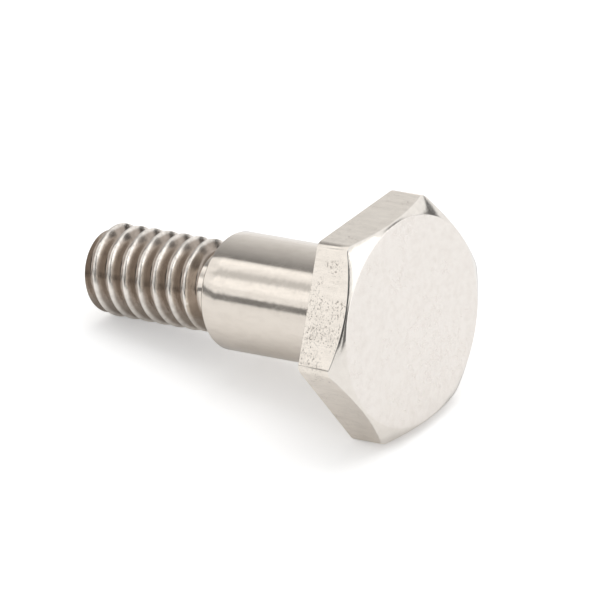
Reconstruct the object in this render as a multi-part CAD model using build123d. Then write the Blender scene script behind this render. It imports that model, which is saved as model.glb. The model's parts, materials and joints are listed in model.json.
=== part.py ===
from build123d import *
import math
import os

# Hex-head shoulder bolt, turned from hexagon bar in one piece. Lengths are in millimetres
# and angles in degrees. The bolt is drawn upright along its own axis: z = 0 is the bearing
# face under the head, and z grows towards the threaded tip. At the end it is laid down as
# it rests on a floor, on one flat of the head and on the crest of the thread near the tip.

# Head
across_flats = 14.29
head_height = 3.2
bar_corner_radius = 0.6        # the drawn bar's six long edges are slightly round
face_diameter = 13.9           # flat round face left by the chamfer
face_chamfer_angle = 32        # between the chamfer and the face

# Shoulder
shoulder_diameter = 7.87
shoulder_length = 11.3
under_head_fillet = 0.2        # where the shoulder meets the bearing face
shoulder_edge_break = 0.2      # 45 degree break at the shoulder's end

# Thread: right-hand, 60 degree form, with flats of an eighth of the pitch on its crests and
# of a quarter in its roots
thread_diameter = 6.17
thread_pitch = 1.27
thread_length = 10.8           # from the shoulder's end to the tip, relief included
thread_start_angle = -136      # of the groove's first section, turned about the axis from up
tip_chamfer = 0.42             # 45 degrees

# Relief between the shoulder and the thread, where the groove runs out
relief_width = 1.45
relief_clearance = 0.03        # how far the relief lies below the thread's roots
relief_fillet = 0.15           # at the shoulder's end only

# Worked out from the sizes above
flank_slope = math.tan(math.radians(30))
crest_flat = thread_pitch / 8
root_flat = thread_pitch / 4
thread_depth = (thread_pitch - crest_flat - root_flat) / 2 / flank_slope
thread_radius = thread_diameter / 2
root_radius = thread_radius - thread_depth
relief_radius = root_radius - relief_clearance
shoulder_radius = shoulder_diameter / 2
tip = shoulder_length + thread_length
relief_end = shoulder_length + relief_width
groove_start = relief_end - thread_pitch / 4
groove_outside = thread_radius + crest_flat / 4 / flank_slope


def turned(outline):
    """Revolves an outline, drawn as distance from the axis and height along it."""
    return revolve(Plane.XZ * outline, Axis.Z)


def corners(outline, *places):
    """The outline's vertices at the given places."""
    return [outline.vertices().sort_by_distance(place)[0] for place in places]


def head():
    """Hexagon bar, faced and then chamfered by a cone that leaves the round face."""
    bar_outline = RegularPolygon(across_flats / 2, 6, major_radius=False, rotation=30)
    bar_outline = fillet(bar_outline.vertices(), bar_corner_radius)
    bar = Pos(0, 0, -head_height) * extrude(bar_outline, head_height)
    cone_spread = head_height / math.tan(math.radians(face_chamfer_angle))
    cone = make_face(Polyline(
        (0, -head_height),
        (face_diameter / 2, -head_height),
        (face_diameter / 2 + cone_spread, 0),
        (0, 0),
        close=True,
    ))
    return bar & turned(cone)


def shank():
    """Shoulder, relief and thread blank, as one turned outline rooted in the head."""
    root_width = shoulder_radius + 2 * under_head_fillet
    run_out = (thread_radius - relief_radius) * flank_slope
    outline = make_face(Polyline(
        (0, -head_height / 2),
        (root_width, -head_height / 2),
        (root_width, 0),
        (shoulder_radius, 0),
        (shoulder_radius, shoulder_length - shoulder_edge_break),
        (shoulder_radius - shoulder_edge_break, shoulder_length),
        (relief_radius, shoulder_length),
        (relief_radius, relief_end),
        (thread_radius, relief_end + run_out),
        (thread_radius, tip - tip_chamfer),
        (thread_radius - tip_chamfer, tip),
        (0, tip),
        close=True,
    ))
    under_head = corners(outline, (shoulder_radius, 0))
    outline = fillet(under_head, under_head_fillet)
    relief = corners(outline, (relief_radius, shoulder_length))
    return turned(fillet(relief, relief_fillet))


def thread_groove():
    """Turns of the helical groove, from clear air in the relief to clear air past the tip.

    One turn is swept and repeated along the axis, end to end. Its flanks run on past the crests.
    """
    half_root = root_flat / 2
    half_mouth = half_root + (groove_outside - root_radius) * flank_slope
    section = make_face(Polyline(
        (root_radius, groove_start - half_root),
        (groove_outside, groove_start - half_mouth),
        (groove_outside, groove_start + half_mouth),
        (root_radius, groove_start + half_root),
        close=True,
    ))
    path = Helix(thread_pitch, thread_pitch, root_radius, center=(0, 0, groove_start))
    turn = Rot(0, 0, thread_start_angle) * sweep(Plane.XZ * section, path, is_frenet=True)
    turns = math.ceil((tip - groove_start) / thread_pitch) + 1
    return [Pos(0, 0, n * thread_pitch) * turn for n in range(turns)]


def resting_tilt():
    """Dip of the axis at which the thread's crest first meets the floor under the head's flat."""
    tilts = []
    turns = (tip - groove_start) / thread_pitch
    for step in range(int(turns * 180)):
        angle = math.radians(2 * step)
        middle = groove_start + thread_pitch * (angle / (2 * math.pi) + 0.5)
        for z in (middle - crest_flat / 2, middle + crest_flat / 2):
            reach = min(thread_radius, thread_radius - tip_chamfer + tip - z)
            below_axis = -reach * math.cos(angle + math.radians(thread_start_angle))
            if z < tip:
                tilts.append(math.atan((across_flats / 2 - below_axis) / z))
    return min(tilts)


tilt = resting_tilt()
to_tip = (-math.cos(tilt), 0, -math.sin(tilt))
up_across_axis = (-math.sin(tilt), 0, math.cos(tilt))
lying = Plane(origin=(0, 0, 0), x_dir=up_across_axis, z_dir=to_tip)

bolt = head() + shank() - thread_groove()
shoulder_bolt = lying * bolt

os.makedirs("parts", exist_ok=True)
export_step(shoulder_bolt, "parts/shoulder_bolt.step")
box = shoulder_bolt.bounding_box()
print("resting tilt", round(math.degrees(tilt), 3), "volume", round(shoulder_bolt.volume, 2))
print("box", box.min, box.max)
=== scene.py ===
import json
import math

import bpy
from mathutils import Matrix, Vector


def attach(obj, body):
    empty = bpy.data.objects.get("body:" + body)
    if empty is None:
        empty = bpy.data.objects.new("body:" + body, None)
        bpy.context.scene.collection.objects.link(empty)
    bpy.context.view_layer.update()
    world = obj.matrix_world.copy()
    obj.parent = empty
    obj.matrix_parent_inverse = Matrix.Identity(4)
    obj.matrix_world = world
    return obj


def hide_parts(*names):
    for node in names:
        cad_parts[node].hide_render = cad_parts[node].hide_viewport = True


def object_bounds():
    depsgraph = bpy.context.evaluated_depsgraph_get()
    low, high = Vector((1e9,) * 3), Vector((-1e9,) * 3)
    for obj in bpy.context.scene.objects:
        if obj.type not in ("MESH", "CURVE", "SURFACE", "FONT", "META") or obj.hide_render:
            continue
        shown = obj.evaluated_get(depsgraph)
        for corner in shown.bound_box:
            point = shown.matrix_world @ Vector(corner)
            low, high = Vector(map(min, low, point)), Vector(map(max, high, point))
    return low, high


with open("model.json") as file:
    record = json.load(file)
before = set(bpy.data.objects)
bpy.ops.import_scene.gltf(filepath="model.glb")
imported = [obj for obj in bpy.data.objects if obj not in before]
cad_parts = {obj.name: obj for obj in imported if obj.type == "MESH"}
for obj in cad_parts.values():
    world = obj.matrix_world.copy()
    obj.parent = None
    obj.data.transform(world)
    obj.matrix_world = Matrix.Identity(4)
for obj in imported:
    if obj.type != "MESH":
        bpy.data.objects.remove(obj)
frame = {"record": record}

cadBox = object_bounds()
mm = 0.001
turn = 2 * math.pi
mounts = {m["name"]: m for m in frame["record"]["mounts"]}
toTip = Vector(mounts["shoulder"]["axis"]).normalized()
tilt = math.acos(-toTip.x)          # how far the bolt leans, tip down
weldGap = 0.0005 * mm               # points of a turned surface closer than this are one
print("frame loaded, bolt leans", round(math.degrees(tilt), 2), "degrees")


def deselectAll():
    if bpy.context.mode != "OBJECT":
        bpy.ops.object.mode_set(mode="OBJECT")
    bpy.ops.object.select_all(action="DESELECT")


def pick(piece):
    deselectAll()
    piece.select_set(True)
    bpy.context.view_layer.objects.active = piece


def applyModifier(piece, kind, **settings):
    pick(piece)
    modifier = piece.modifiers.new(kind.lower(), kind)
    for key, value in settings.items():
        setattr(modifier, key, value)
    bpy.ops.object.modifier_apply(modifier=modifier.name)


def cleanMesh(piece):
    joinGap, flapGap = 0.001 * mm, 0.03 * mm
    pick(piece)
    bpy.ops.object.mode_set(mode="EDIT")
    bpy.ops.mesh.select_mode(type="VERT")
    bpy.ops.mesh.select_all(action="SELECT")
    bpy.ops.mesh.remove_doubles(threshold=joinGap)
    bpy.ops.mesh.dissolve_degenerate(threshold=joinGap)
    # tiny flaps, left where a bevel runs out, are drawn together and any gap is filled
    bpy.ops.mesh.select_all(action="DESELECT")
    bpy.ops.mesh.select_non_manifold(extend=False)
    bpy.ops.mesh.remove_doubles(threshold=flapGap)
    bpy.ops.mesh.select_all(action="DESELECT")
    bpy.ops.mesh.select_non_manifold(extend=False)
    bpy.ops.mesh.fill_holes(sides=12)
    bpy.ops.mesh.select_all(action="SELECT")
    bpy.ops.mesh.normals_make_consistent(inside=False)
    bpy.ops.object.mode_set(mode="OBJECT")


def combine(piece, other, operation):
    applyModifier(piece, "BOOLEAN", object=other, operation=operation, solver="EXACT")
    bpy.data.objects.remove(other)


def arc(centre, radius, start, end, steps):
    angles = [math.radians(start + (end - start) * i / steps) for i in range(steps + 1)]
    return [(centre[0] + radius * math.cos(a), centre[1] + radius * math.sin(a)) for a in angles]


def drawOutline(name, points):
    # a chain of edges in the XZ plane, drawn point by point
    deselectAll()
    bpy.ops.mesh.primitive_plane_add(size=mm)
    piece = bpy.context.object
    piece.name = name
    bpy.ops.object.mode_set(mode="EDIT")
    bpy.ops.mesh.select_mode(type="VERT")
    bpy.ops.mesh.select_all(action="SELECT")
    bpy.ops.mesh.merge(type="CENTER")
    bpy.ops.transform.translate(value=(points[0][0] * mm, 0, points[0][1] * mm))
    for before, after in zip(points, points[1:]):
        step = ((after[0] - before[0]) * mm, 0, (after[1] - before[1]) * mm)
        bpy.ops.mesh.extrude_vertices_move(TRANSFORM_OT_translate={"value": step})
    bpy.ops.object.mode_set(mode="OBJECT")
    return piece


def lathe(name, points, steps):
    piece = drawOutline(name, points)
    bpy.ops.object.mode_set(mode="EDIT")
    bpy.ops.mesh.select_all(action="SELECT")
    bpy.ops.mesh.spin(steps=steps, angle=turn, center=(0, 0, 0), axis=(0, 0, 1))
    bpy.ops.mesh.select_all(action="SELECT")
    bpy.ops.mesh.remove_doubles(threshold=weldGap)
    bpy.ops.mesh.normals_make_consistent(inside=False)
    bpy.ops.object.mode_set(mode="OBJECT")
    return piece


# the bolt is modelled upright in millimetres and degrees, bearing face at height 0 and tip upwards
boltSpec = {
    "acrossFlats": 14.29, "headHeight": 3.2, "barCorner": 0.6, "faceDiameter": 13.9, "chamferAngle": 32,
    "shoulderRadius": mounts["shoulder"]["dims"]["r_mm"], "shoulderLength": 11.3,
    "headFillet": 0.2, "edgeBreak": 0.2,
    "threadRadius": mounts["thread"]["dims"]["r_mm"], "pitch": 1.27, "tip": 22.1, "tipChamfer": 0.42,
    "grooveTurn": -136, "reliefRadius": 2.3676, "reliefEnd": 12.75, "reliefFillet": 0.15,
    "edgeRound": 0.035, "crestRound": 0.03, "rootRound": 0.06,
}
# how finely it is turned and rounded, and how far each cutter or blank runs past what it cuts or joins
buildSpec = {
    "coneSteps": 288, "shankSteps": 192, "threadSteps": 120, "shoulderRows": 12, "faceRings": 12,
    "cornerSteps": 8, "headFilletSteps": 6, "reliefFilletSteps": 5,
    "coneAbove": 0.5, "intoHead": 1.0, "neckEnd": 0.7, "blankStart": 0.5, "threadStart": 0.35,
    "pastTip": 0.3, "proud": 0.4, "bevelAngle": 25, "smoothAngle": 28,
}
flankSlope = math.tan(turn / 12)        # a 60 degree thread


def makeHead():
    spec = boltSpec
    radius = spec["acrossFlats"] / 2 / math.cos(turn / 12) * mm
    height = spec["headHeight"] * mm
    deselectAll()
    bpy.ops.mesh.primitive_cylinder_add(vertices=6, radius=radius, depth=height,
                                        location=(0, 0, -height / 2))
    head = bpy.context.object
    head.name = "hexHead"
    bpy.ops.object.transform_apply(location=True, rotation=True, scale=True)
    bpy.ops.object.mode_set(mode="EDIT")
    bpy.ops.mesh.select_mode(type="EDGE")
    bpy.ops.mesh.select_all(action="DESELECT")
    bpy.ops.object.mode_set(mode="OBJECT")
    for edge in head.data.edges:
        start, end = (head.data.vertices[i].co for i in edge.vertices)
        edge.select = abs(start.z - end.z) > height / 2
    bpy.ops.object.mode_set(mode="EDIT")
    cornerOffset = spec["barCorner"] * math.tan(turn / 12) * mm
    bpy.ops.mesh.bevel(offset=cornerOffset, segments=buildSpec["cornerSteps"], affect="EDGES")
    bpy.ops.object.mode_set(mode="OBJECT")
    # the facing cone trims the corners and leaves the round face
    faceRadius = spec["faceDiameter"] / 2
    above = buildSpec["coneAbove"]
    spread = (spec["headHeight"] + above) / math.tan(math.radians(spec["chamferAngle"]))
    rings = buildSpec["faceRings"]
    outline = [(faceRadius * i / rings, -spec["headHeight"]) for i in range(rings + 1)]
    outline += [(faceRadius + spread, above), (0, above)]
    combine(head, lathe("facingCone", outline, buildSpec["coneSteps"]), "INTERSECT")
    cleanMesh(head)
    applyModifier(head, "BEVEL", width=spec["edgeRound"] * mm, segments=2, limit_method="ANGLE",
                  angle_limit=math.radians(buildSpec["bevelAngle"]), use_clamp_overlap=False)
    return head


def makeShoulder():
    spec = boltSpec
    radius, end, fillet = spec["shoulderRadius"], spec["shoulderLength"], spec["headFillet"]
    neck, neckFillet, neckEnd = spec["reliefRadius"], spec["reliefFillet"], end + buildSpec["neckEnd"]
    # the edge break is a bevel with softened ends
    near, far, corner = (spec["edgeBreak"] * share for share in (0.1, 0.95, 1.3))
    rows = buildSpec["shoulderRows"]
    straight = end - corner - fillet
    outline = [(0, -buildSpec["intoHead"]), (radius + fillet, -buildSpec["intoHead"])]
    outline += arc((radius + fillet, fillet), fillet, 270, 180, buildSpec["headFilletSteps"])
    outline += [(radius, fillet + straight * i / rows) for i in range(1, rows + 1)]
    outline += [(radius - near, end - far), (radius - far, end - near), (radius - corner, end)]
    outline += [(neck + neckFillet, end)]
    outline += arc((neck + neckFillet, end + neckFillet), neckFillet, 270, 180,
                   buildSpec["reliefFilletSteps"])
    outline += [(neck, neckEnd), (0, neckEnd)]
    return lathe("shoulder", outline, buildSpec["shankSteps"])


def threadForm():
    # half of one pitch from the root's middle to the crest's middle, then its mirror
    pitch, crest = boltSpec["pitch"], boltSpec["threadRadius"]
    rootRound, crestRound = boltSpec["rootRound"], boltSpec["crestRound"]
    root = crest - (pitch - pitch / 8 - pitch / 4) / 2 / flankSlope
    foot, brow = Vector((root, -pitch / 2 + pitch / 8)), Vector((crest, -pitch / 16))
    along = (brow - foot).normalized()
    run = (brow - foot).length
    half = [Vector((root, -pitch / 2)), Vector((root, foot.y - rootRound))]
    half += [foot + along * rootRound * 0.35 + Vector((0, -rootRound * 0.28)), foot + along * rootRound]
    half += [foot + along * run * share for share in (0.3, 0.55, 0.8)]
    half += [brow - along * crestRound, brow - along * crestRound * 0.3 + Vector((0, crestRound * 0.25))]
    half += [brow + Vector((0, crestRound))]
    return [tuple(point) for point in half] + [(point.x, -point.y) for point in reversed(half)]


def makeThread():
    spec = boltSpec
    pitch, crest, tip = spec["pitch"], spec["threadRadius"], spec["tip"]
    shoulderEnd, reliefEnd = spec["shoulderLength"], spec["reliefEnd"]
    # at grooveTurn round the axis, the groove's middle is a quarter of a pitch before the relief's end
    rootAt = reliefEnd - pitch / 4 - math.radians(spec["grooveTurn"]) / turn * pitch
    firstRoot = rootAt - math.ceil((rootAt - shoulderEnd) / pitch + 2) * pitch
    turns = math.ceil((tip - firstRoot) / pitch) + 2
    thread = drawOutline("threadForm", [(x, firstRoot + pitch / 2 + z) for x, z in threadForm()])
    steps = buildSpec["threadSteps"]
    applyModifier(thread, "SCREW", axis="Z", angle=turn, screw_offset=pitch * mm, iterations=turns,
                  steps=steps, render_steps=steps, use_merge_vertices=True, merge_threshold=weldGap)
    bpy.ops.object.mode_set(mode="EDIT")
    start, finish = shoulderEnd + buildSpec["threadStart"], tip + buildSpec["pastTip"]
    for height, keepBelow in ((start, False), (finish, True)):
        bpy.ops.mesh.select_all(action="SELECT")
        bpy.ops.mesh.bisect(plane_co=(0, 0, height * mm), plane_no=(0, 0, 1), use_fill=True,
                            clear_inner=not keepBelow, clear_outer=keepBelow)
    bpy.ops.object.mode_set(mode="OBJECT")
    cleanMesh(thread)
    # the turned blank that it is cut from, with its relief, runout and tip chamfer
    neck, chamfer, proud = spec["reliefRadius"], spec["tipChamfer"], buildSpec["proud"]
    blankStart = shoulderEnd + buildSpec["blankStart"]
    wide = crest + proud
    edge, land = 0.05, 0.11             # the tip's edge is softened
    outline = [(0, blankStart), (neck, blankStart), (neck, reliefEnd)]
    outline += [(wide, reliefEnd + (wide - neck) * flankSlope), (wide, tip - chamfer - proud)]
    outline += [(crest - chamfer - edge, tip - edge), (crest - chamfer - land, tip), (0, tip)]
    combine(thread, lathe("threadBlank", outline, buildSpec["shankSteps"]), "INTERSECT")
    return thread


def finishOf(centre, normal):
    # which finish a face has, from its place and normal on the upright bolt
    spec = boltSpec
    radius = math.hypot(centre.x, centre.y) / mm
    height = centre.z / mm
    # the end, or the 45 degree chamfer round it
    facesTip = normal.z > 0.95 or abs(normal.z - math.sqrt(0.5)) < 0.08
    atTip = height > spec["tip"] - spec["tipChamfer"] and facesTip
    reliefSlack, endSlack = 0.02, 0.01
    inRelief = height < spec["reliefEnd"] and radius < spec["reliefRadius"] + reliefSlack
    if height > spec["shoulderLength"] + endSlack and not atTip and not inRelief:
        return "cutThread"
    if height > -0.1:                   # the shoulder, its fillet and the bearing face round it
        return "turnedShoulder"
    if normal.z < -0.9:
        return "turnedFace"
    onFlat = abs(normal.z) < 0.1 and radius > 6     # a flat or the rounded corner between two
    return "drawnFlat" if onFlat else "turnedChamfer"


def makeBolt(finishes):
    bolt = makeHead()
    print("hex head cut")
    shank = makeShoulder()
    combine(shank, makeThread(), "UNION")
    print("shank turned and threaded")
    combine(bolt, shank, "UNION")
    cleanMesh(bolt)
    bolt.name = "turnedBolt"
    bolt.data.materials.clear()
    for name in finishes:
        bolt.data.materials.append(finishes[name])
    order = list(finishes)
    for face in bolt.data.polygons:
        face.material_index = order.index(finishOf(face.center, face.normal))
    pick(bolt)
    bpy.ops.object.shade_smooth_by_angle(angle=math.radians(buildSpec["smoothAngle"]))
    applyModifier(bolt, "WEIGHTED_NORMAL", keep_sharp=True, weight=60)
    # laid down as it rests: the upright Z becomes the way to the tip
    up = Vector((toTip.z, 0, -toTip.x))
    bolt.matrix_world = Matrix((up, Vector((0, 1, 0)), toTip)).transposed().to_4x4()
    bpy.ops.object.transform_apply(location=True, rotation=True, scale=True)
    return bolt


# finishes and painted light: colour and stain, roughness, how far the turning marks throw the light, and
# what wear shows; the thread's colour is painted shade on its flanks and its crest colour a painted
# highlight, and the face's paler colour is partly painted light
finishAndPaintedLightSpec = {
    # the face's paler, more neutral colour is partly the faced steel's own tone and partly painted light
    "turnedFace": {"color": (0.91, 0.865, 0.82), "stain": (0.60, 0.52, 0.45), "roughness": 0.2,
                   "marks": "radial", "spread": 0.9, "markScale": 40, "band": 0.25, "wear": 0.16,
                   "scratch": 0.8, "pits": 0.0, "grain": 0.03},
    "turnedChamfer": {"color": (0.87, 0.825, 0.77), "stain": (0.50, 0.44, 0.38), "roughness": 0.09,
                      "marks": "radial", "spread": 0.07, "markScale": 30, "band": 0.30, "wear": 0.12,
                      "scratch": 0.25, "pits": 0.1, "grain": 0.04},
    "drawnFlat": {"color": (0.92, 0.855, 0.775), "stain": (0.15, 0.11, 0.08), "roughness": 0.15,
                  "marks": "axial", "spread": 0.06, "markScale": 9, "band": 0.5, "wear": 0.10,
                  "scratch": 0.9, "pits": 1.0, "pitCentre": (2.4, -6.6, -1.4), "grain": 0.035},
    "turnedShoulder": {"color": (0.82, 0.755, 0.68), "stain": (0.42, 0.36, 0.30), "roughness": 0.09,
                       "marks": "axial", "spread": 0.14, "markScale": 22, "band": 0.45, "wear": 0.12,
                       "scratch": 0.3, "pits": 0.0, "grain": 0.03},
    # the thread's dark colour is painted shade on its flanks, and its crest colour a painted highlight
    "cutThread": {"color": (0.43, 0.37, 0.32), "crest": (0.90, 0.85, 0.79), "stain": (0.20, 0.16, 0.13),
                  "roughness": 0.13, "marks": "axial", "spread": 0.08, "markScale": 18, "band": 0.4,
                  "wear": 0.30, "scratch": 0.2, "pits": 0.15, "grain": 0.03},
}
# what all the finishes share, wear and the band of the thread's painted crest highlight, lengths in
# millimetres
wearAndHighlightSpec = {"wander": 0.02, "broadShare": 0.12, "hairWidth": 0.006, "scratchStain": 0.4, "pitStain": 0.62,
            "cloudRough": 0.06, "dirtRough": 0.25, "grainRelief": 0.6, "scratchRelief": 0.3,
            "crestStart": 0.26, "crestFull": 0.05, "bumpStrength": 0.5, "bumpDepth": 0.02}


class NodeBench:
    # adds nodes to one material; a value that is a socket is linked, anything else is set
    def __init__(self, material):
        material.use_nodes = True
        self.nodes, self.links = material.node_tree.nodes, material.node_tree.links
        self.shader = self.nodes["Principled BSDF"]

    def add(self, kind, inputs=None, output=0, **settings):
        node = self.nodes.new("ShaderNode" + kind)
        for key, value in settings.items():
            setattr(node, key, value)
        for key, value in (inputs or {}).items():
            self.feed(node.inputs[key], value)
        return node.outputs[output]

    def feed(self, socket, value):
        if isinstance(value, bpy.types.NodeSocket):
            self.links.new(value, socket)
        else:
            socket.default_value = value

    def math(self, operation, a, b=0.0, clamp=False):
        return self.add("Math", {0: a, 1: b}, operation=operation, use_clamp=clamp)

    def vector(self, operation, a, b=(0, 0, 0), output=0):
        return self.add("VectorMath", {0: a, 1: b}, operation=operation, output=output)

    def scaled(self, vector, factor):
        node = self.nodes.new("ShaderNodeVectorMath")
        node.operation = "SCALE"
        self.feed(node.inputs[0], vector)
        self.feed(node.inputs["Scale"], factor)
        return node.outputs[0]

    def noise(self, vector, scale, detail=2.0, rough=0.5, distortion=0.0):
        return self.add("TexNoise", {"Vector": vector, "Scale": scale, "Detail": detail, "Roughness": rough,
                                     "Distortion": distortion})

    def stretched(self, vector, factors, scale, **settings):
        # noise drawn out along the axes with small factors
        return self.noise(self.vector("MULTIPLY", vector, factors), scale, **settings)

    def marks(self, course, scale, detail, rough):
        return self.add("TexNoise", {"W": course, "Scale": scale, "Detail": detail, "Roughness": rough},
                        noise_dimensions="1D")

    def band(self, value, low, high, outLow=0.0, outHigh=1.0):
        return self.add("MapRange", {0: value, 1: low, 2: high, 3: outLow, 4: outHigh},
                        interpolation_type="SMOOTHSTEP")

    def blend(self, factor, a, b):
        node = self.nodes.new("ShaderNodeMix")
        node.data_type = "RGBA"
        self.feed(node.inputs["Factor"], factor)
        self.feed(node.inputs["A"], a)
        self.feed(node.inputs["B"], b)
        return node.outputs["Result"]


def rgba(color):
    return (*color, 1.0)


def makeFinish(name):
    spec = finishAndPaintedLightSpec[name]
    material = bpy.data.materials.new(name)
    bench = NodeBench(material)
    # the bolt's own millimetres: X up across the axis, Z to the tip
    place = bench.add("TexCoord", output="Object")
    upright = (0, turn / 4 + tilt, 0)
    bolt = bench.add("Mapping", {"Vector": place, "Rotation": upright, "Scale": (1 / mm,) * 3})
    flat = bench.vector("MULTIPLY", bolt, (1, 1, 0))
    radius = bench.vector("LENGTH", flat, output="Value")
    height = bench.vector("DOT_PRODUCT", bolt, (0, 0, 1), output="Value")

    # turning marks tip the normal across themselves: out from the axis on a face, along it on a cylinder
    if spec["marks"] == "radial":
        along = radius
        onAxis = bench.vector("DOT_PRODUCT", place, tuple(toTip), output="Value")
        offAxis = bench.vector("SUBTRACT", place, bench.scaled(tuple(toTip), onAxis))
        across = bench.vector("NORMALIZE", offAxis)
    else:
        along = height
        across = tuple(toTip)
    wander = bench.noise(bolt, 0.25, detail=2.0)
    course = bench.math("ADD", along, bench.math("MULTIPLY", wander, wearAndHighlightSpec["wander"]))
    fine = bench.marks(course, spec["markScale"], detail=3.0, rough=0.7)
    broad = bench.marks(course, spec["markScale"] * wearAndHighlightSpec["broadShare"], detail=4.0, rough=0.6)
    fineTip = bench.math("MULTIPLY", bench.math("SUBTRACT", fine, 0.5), spec["spread"])
    broadTip = bench.math("MULTIPLY", bench.math("SUBTRACT", broad, 0.5), spec["spread"] * spec["band"])
    tip = bench.math("ADD", fineTip, broadTip)
    normal = bench.add("NewGeometry", output="Normal")
    normal = bench.vector("NORMALIZE", bench.vector("ADD", normal, bench.scaled(across, tip)))

    # wear: cloudy tarnish, hairline scratches and pits that gather in patches
    cloud = bench.noise(bolt, 0.22, detail=5.0, rough=0.6, distortion=0.6)
    smear = bench.stretched(bolt, (1.0, 1.0, 0.35), 2.2, detail=4.0, rough=0.6, distortion=0.4)
    drawn = bench.stretched(bolt, (1.0, 1.0, 0.06), 14.0, detail=3.0, rough=0.6)
    crossed = bench.stretched(bolt, (0.12, 0.12, 1.6), 9.0, detail=3.0, rough=0.6, distortion=0.3)
    elsewhere = bench.vector("ADD", bolt, (7.3, 2.1, 4.4))
    hair = bench.noise(elsewhere, 0.9, detail=1.5, rough=0.4, distortion=1.6)
    hair = bench.math("ABSOLUTE", bench.math("SUBTRACT", hair, 0.5))
    hairline = bench.band(hair, 0.0, wearAndHighlightSpec["hairWidth"], 1.0, 0.0)
    hairline = bench.math("MULTIPLY", hairline, bench.band(cloud, 0.42, 0.58))
    patch = bench.noise(bolt, 0.55, detail=3.0, rough=0.6)
    if "pitCentre" in spec:     # the pits are thickest round one place
        away = bench.vector("DISTANCE", bolt, spec["pitCentre"], output="Value")
        patch = bench.math("ADD", patch, bench.band(away, 1.2, 5.0, 0.12, -0.10))
    speck = bench.noise(bolt, 7.5, detail=2.5, rough=0.65, distortion=0.8)
    pitMask = bench.math("ADD", bench.band(speck, 0.57, 0.66), bench.band(crossed, 0.64, 0.72))
    pitMask = bench.math("MULTIPLY", pitMask, bench.band(patch, 0.46, 0.58))
    pitMask = bench.math("MULTIPLY", pitMask, spec["pits"], clamp=True)

    grime = bench.math("MULTIPLY", bench.band(smear, 0.35, 0.75), spec["wear"])
    lines = bench.math("ADD", bench.band(drawn, 0.5, 0.72), bench.band(crossed, 0.56, 0.7))
    lines = bench.math("MULTIPLY", lines, spec["grain"])
    scratches = bench.math("MULTIPLY", hairline, spec["scratch"] * wearAndHighlightSpec["scratchStain"])
    dirt = bench.math("ADD", bench.math("ADD", grime, lines), scratches)
    dirt = bench.math("ADD", dirt, bench.math("MULTIPLY", pitMask, wearAndHighlightSpec["pitStain"]), clamp=True)
    clean = rgba(spec["color"])
    if "crest" in spec:         # painted highlight: the crests are painted brighter than the flanks, whose dark colour is painted shade
        crest = boltSpec["threadRadius"]
        crestHighlightMask = bench.band(radius, crest - wearAndHighlightSpec["crestStart"], crest - wearAndHighlightSpec["crestFull"])
        clean = bench.blend(crestHighlightMask, clean, rgba(spec["crest"]))
    bench.feed(bench.shader.inputs["Base Color"], bench.blend(dirt, clean, rgba(spec["stain"])))

    clouded = bench.math("MULTIPLY", bench.band(cloud, 0.3, 0.7), wearAndHighlightSpec["cloudRough"])
    rough = bench.math("ADD", spec["roughness"], clouded)
    rough = bench.math("ADD", rough, bench.math("MULTIPLY", dirt, wearAndHighlightSpec["dirtRough"]), clamp=True)
    bench.feed(bench.shader.inputs["Roughness"], rough)
    bench.feed(bench.shader.inputs["Metallic"], 1.0)

    raised = bench.math("MULTIPLY", drawn, spec["grain"] * wearAndHighlightSpec["grainRelief"])
    sunk = bench.math("MULTIPLY", hairline, spec["scratch"] * wearAndHighlightSpec["scratchRelief"])
    relief = bench.math("SUBTRACT", bench.math("SUBTRACT", raised, sunk), pitMask)
    bump = bench.add("Bump", {"Height": relief, "Strength": wearAndHighlightSpec["bumpStrength"],
                              "Distance": wearAndHighlightSpec["bumpDepth"] * mm, "Normal": normal})
    bench.feed(bench.shader.inputs["Normal"], bump)
    return material


bolt = makeBolt({name: makeFinish(name) for name in finishAndPaintedLightSpec})
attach(bolt, "root")
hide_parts("shoulder_bolt")
print("bolt laid down")

# white paper under the bolt; the camera and the steel see it a little brighter than the lamps light it
floorSpec = {"size": 3.0, "color": (0.89, 0.89, 0.89), "roughness": 0.9,
             "cameraLift": 0.32, "steelLift": 0.05}


def makeFloor():
    deselectAll()
    bpy.ops.mesh.primitive_plane_add(size=floorSpec["size"], location=(0, 0, cadBox[0].z))
    floor = bpy.context.object
    floor.name = "studioFloor"
    bpy.ops.object.transform_apply(location=True, rotation=True, scale=True)
    material = bpy.data.materials.new("paperFloor")
    bench = NodeBench(material)
    bench.feed(bench.shader.inputs["Base Color"], rgba(floorSpec["color"]))
    bench.feed(bench.shader.inputs["Roughness"], floorSpec["roughness"])
    bench.feed(bench.shader.inputs["Specular IOR Level"], 0.0)
    path = bench.nodes.new("ShaderNodeLightPath")
    # more light than the lamps give it, for the camera and for what the steel mirrors
    lift = bench.math("MULTIPLY", path.outputs["Is Camera Ray"], floorSpec["cameraLift"])
    steelSees = bench.math("MAXIMUM", path.outputs["Is Glossy Ray"], path.outputs["Is Transmission Ray"])
    lift = bench.math("ADD", lift, bench.math("MULTIPLY", steelSees, floorSpec["steelLift"]))
    bench.feed(bench.shader.inputs["Emission Color"], (1, 1, 1, 1))
    bench.feed(bench.shader.inputs["Emission Strength"], lift)
    floor.data.materials.append(material)


makeFloor()
print("floor laid")


def towards(azimuth, elevation):
    # direction out from the bolt; azimuth 0 is -Y and 90 is +X
    around, above = math.radians(azimuth), math.radians(elevation)
    return Vector((math.sin(around) * math.cos(above), -math.cos(around) * math.cos(above), math.sin(above)))


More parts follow.
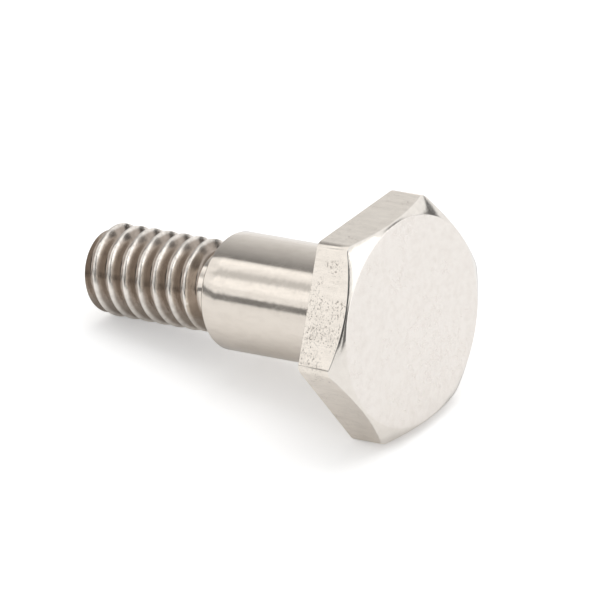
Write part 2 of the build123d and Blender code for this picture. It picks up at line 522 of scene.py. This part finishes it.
# one soft lamp over the back and an even room; the panels are what the polished steel mirrors: where each
# stands, how wide and tall it looks from the bolt in degrees, and its brightness from one side to the other
studioSpec = {
    "lamp": {"azimuth": 174, "elevation": 75, "distance": 0.6, "size": 0.55, "bright": 1.5},
    "roomGrey": (0.72, 0.72, 0.72), "panelDistance": 0.5,
    "panels": {
        "backPanel": {"azimuth": -120, "elevation": 24, "wide": 46, "tall": 54, "from": 0.86, "to": 0.18},
        "leftStrip": {"azimuth": -78, "elevation": 42, "wide": 12, "tall": 12, "from": 1.3, "to": 1.05},
        "leftFrame": {"azimuth": -61, "elevation": 36, "wide": 9, "tall": 20, "from": 0.66, "to": 0.66},
        "leftBox": {"azimuth": -50, "elevation": 24, "wide": 10, "tall": 14, "from": 1.2, "to": 1.2},
        "leftGap": {"azimuth": -40, "elevation": 3, "wide": 60, "tall": 11, "from": 0.22, "to": 0.22},
        "cameraShade": {"azimuth": 37, "elevation": 34, "wide": 66, "tall": 60, "from": 0.08, "to": 0.08},
        "rightGap": {"azimuth": 78, "elevation": 9, "wide": 14, "tall": 20, "from": 0.15, "to": 0.15},
        "rightBox": {"azimuth": 106, "elevation": 33, "wide": 34, "tall": 24, "from": 1.5, "to": 1.5},
        "rightWall": {"azimuth": 112, "elevation": 7, "wide": 40, "tall": 16, "from": 1.3, "to": 1.3},
        "topGap": {"azimuth": 140, "elevation": 28, "wide": 12, "tall": 12, "from": 0.2, "to": 0.2},
        "farGap": {"azimuth": 161, "elevation": 3, "wide": 30, "tall": 11, "from": 0.12, "to": 0.12},
    },
}


def makeLamp():
    spec = studioSpec["lamp"]
    out = towards(spec["azimuth"], spec["elevation"])
    data = bpy.data.lights.new("overheadLamp", "AREA")
    data.shape = "SQUARE"
    data.size = spec["size"]
    data.energy = spec["bright"] * math.pi * spec["size"] ** 2
    lamp = bpy.data.objects.new("overheadLamp", data)
    bpy.context.scene.collection.objects.link(lamp)
    lamp.location = out * spec["distance"]
    lamp.rotation_euler = out.to_track_quat("Z", "Y").to_euler()
    lamp.visible_camera = False
    lamp.visible_glossy = False


def makePanel(name, spec):
    out = towards(spec["azimuth"], spec["elevation"])
    distance = studioSpec["panelDistance"]
    deselectAll()
    bpy.ops.mesh.primitive_plane_add(size=1, location=out * distance,
                                     rotation=out.to_track_quat("Z", "Y").to_euler())
    panel = bpy.context.object
    panel.name = name
    wide, tall = (2 * distance * math.tan(math.radians(spec[side] / 2)) for side in ("wide", "tall"))
    panel.scale = (wide, tall, 1)
    material = bpy.data.materials.new(name)
    bench = NodeBench(material)
    place = bench.add("TexCoord", output="Object")
    sideways = bench.vector("DOT_PRODUCT", place, (1, 0, 0), output="Value")
    glow = bench.add("MapRange", {0: sideways, 1: -0.5, 2: 0.5, 3: spec["from"], 4: spec["to"]})
    bench.feed(bench.shader.inputs["Base Color"], (0, 0, 0, 1))
    bench.feed(bench.shader.inputs["Specular IOR Level"], 0.0)
    bench.feed(bench.shader.inputs["Emission Color"], (1, 1, 1, 1))
    bench.feed(bench.shader.inputs["Emission Strength"], glow)
    panel.data.materials.append(material)
    panel.visible_camera = False
    panel.visible_diffuse = False
    panel.visible_shadow = False


def makeWorld():
    # white to the camera and to the steel, grey as a light
    world = bpy.data.worlds.new("studioWorld")
    bpy.context.scene.world = world
    world.use_nodes = True
    nodes, links = world.node_tree.nodes, world.node_tree.links
    nodes.clear()
    path = nodes.new("ShaderNodeLightPath")
    seen = nodes.new("ShaderNodeMath")
    seen.operation = "MAXIMUM"
    seenToo = nodes.new("ShaderNodeMath")
    seenToo.operation = "MAXIMUM"
    room = nodes.new("ShaderNodeBackground")
    white = nodes.new("ShaderNodeBackground")
    mix = nodes.new("ShaderNodeMixShader")
    out = nodes.new("ShaderNodeOutputWorld")
    room.inputs["Color"].default_value = rgba(studioSpec["roomGrey"])
    white.inputs["Color"].default_value = (1, 1, 1, 1)
    links.new(path.outputs["Is Camera Ray"], seen.inputs[0])
    links.new(path.outputs["Is Glossy Ray"], seen.inputs[1])
    links.new(seen.outputs[0], seenToo.inputs[0])
    links.new(path.outputs["Is Transmission Ray"], seenToo.inputs[1])
    links.new(seenToo.outputs[0], mix.inputs[0])
    links.new(room.outputs[0], mix.inputs[1])
    links.new(white.outputs[0], mix.inputs[2])
    links.new(mix.outputs[0], out.inputs[0])


makeLamp()
for panelName, panelSpec in studioSpec["panels"].items():
    makePanel(panelName, panelSpec)
makeWorld()
print("lights up")

# angles in degrees, distance and aim in millimetres
cameraSpec = {"azimuth": 37.04, "elevation": 31.68, "roll": -0.93, "distance": 528.1, "lens": 489.9,
              "sensor": 36, "aim": (-4.089, -2.421, 0.860)}


def makeCamera():
    back = towards(cameraSpec["azimuth"], cameraSpec["elevation"])
    around, roll = math.radians(cameraSpec["azimuth"]), math.radians(cameraSpec["roll"])
    right = Vector((math.cos(around), math.sin(around), 0))
    up = back.cross(right)
    facing = Matrix((right, up, back)).transposed().to_4x4() @ Matrix.Rotation(roll, 4, "Z")
    data = bpy.data.cameras.new("studioCamera")
    data.lens = cameraSpec["lens"]
    data.sensor_width = cameraSpec["sensor"]
    data.clip_start = 0.01
    camera = bpy.data.objects.new("studioCamera", data)
    bpy.context.scene.collection.objects.link(camera)
    place = (Vector(cameraSpec["aim"]) + back * cameraSpec["distance"]) * mm
    camera.matrix_world = Matrix.Translation(place) @ facing
    bpy.context.scene.camera = camera


makeCamera()
bpy.context.scene.view_settings.view_transform = "Standard"
print("camera set")
